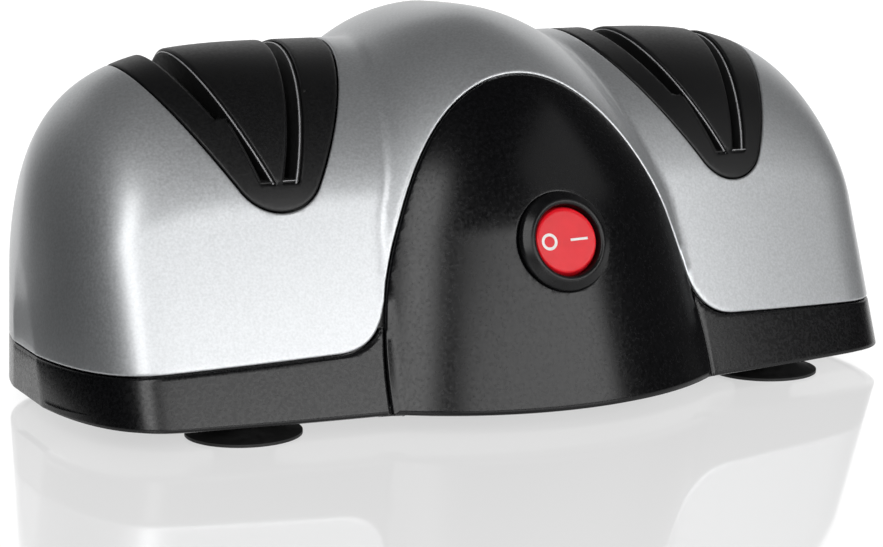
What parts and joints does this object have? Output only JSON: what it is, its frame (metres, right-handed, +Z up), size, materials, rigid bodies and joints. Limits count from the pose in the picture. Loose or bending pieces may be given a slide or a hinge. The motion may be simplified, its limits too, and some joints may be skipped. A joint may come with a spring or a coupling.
{
  "type": "electric knife sharpener",
  "caption": "Electric counter-top knife sharpener: slotted end pods over grinding wheels, a domed motor bay between them, a dark front panel with a round rocker switch, suction feet.",
  "frame": {"origin": "on the counter under the middle of the base", "axes": "+X to the right along the pods, +Y to the rear, +Z up; the switch faces -Y"},
  "size_m": [0.2248, 0.141, 0.095],
  "materials": {
    "silver_abs": "silver metallic paint with a fine grain",
    "black_abs": "fine satin texture",
    "switch_black": "satin",
    "red_rocker": "translucent, glossy",
    "black_rubber": "matt",
    "steel": "zinc plated",
    "laminated_steel": "stacked laminations",
    "copper_winding": "enamelled wire",
    "bronze": "sintered",
    "pale_nylon": "moulded",
    "coarse_abrasive": "coarse bonded grit",
    "fine_abrasive": "fine bonded grit",
    "ferrite": "pressed ferrite",
    "lead_insulation": "insulated wire"
  },
  "bodies": {
    "casing": {"base_tray": "black_abs", "coil_bobbin": "pale_nylon", "cord_gland": "black_rubber", "field_winding": "copper_winding", "filings_magnets": "ferrite", "front_left_suction_foot": "black_rubber", "front_panel": "black_abs", "front_right_suction_foot": "black_rubber", "housing_screws": "steel", "left_bay_baffle": "black_abs", "left_bearing_bracket": "steel", "left_sleeve_bearing": "bronze", "left_slot_insert": "black_abs", "live_lead": "lead_insulation", "motor_bolts": "steel", "motor_grommets": "black_rubber", "motor_mount_screws": "steel", "neutral_lead": "lead_insulation", "rear_left_suction_foot": "black_rubber", "rear_right_suction_foot": "black_rubber", "right_bay_baffle": "black_abs", "right_bearing_bracket": "steel", "right_sleeve_bearing": "bronze", "right_slot_insert": "black_abs", "rocker_pin": "steel", "stator_stack": "laminated_steel", "switch_housing": "switch_black", "switch_lead": "lead_insulation", "switch_terminals": "bronze", "terminal_block": "pale_nylon", "upper_housing": "silver_abs"},
    "rotor": {"motor_shaft": "steel", "rotor_core": "laminated_steel", "thrust_washers": "steel", "cooling_fan": "black_abs", "left_wheel_hub": "pale_nylon", "right_wheel_hub": "pale_nylon", "coarse_wheel": "coarse_abrasive", "fine_wheel": "fine_abrasive", "left_clamp_washer": "steel", "right_clamp_washer": "steel", "left_wheel_nut": "steel", "right_wheel_nut": "steel"},
    "rocker": {"switch_rocker": "red_rocker"}
  },
  "joints": [
    {"name": "rotor_spin", "type": "hinge", "parent": "casing", "child": "rotor", "pos_m": [0, 0.006, 0.036], "axis": [1, 0, 0], "continuous": true},
    {"name": "rocker_tilt", "type": "hinge", "parent": "casing", "child": "rocker", "pos_m": [0, -0.05597, 0.0417], "axis": [0, 0.309, 0.9511], "range_deg": [0, 16]}
  ]
}
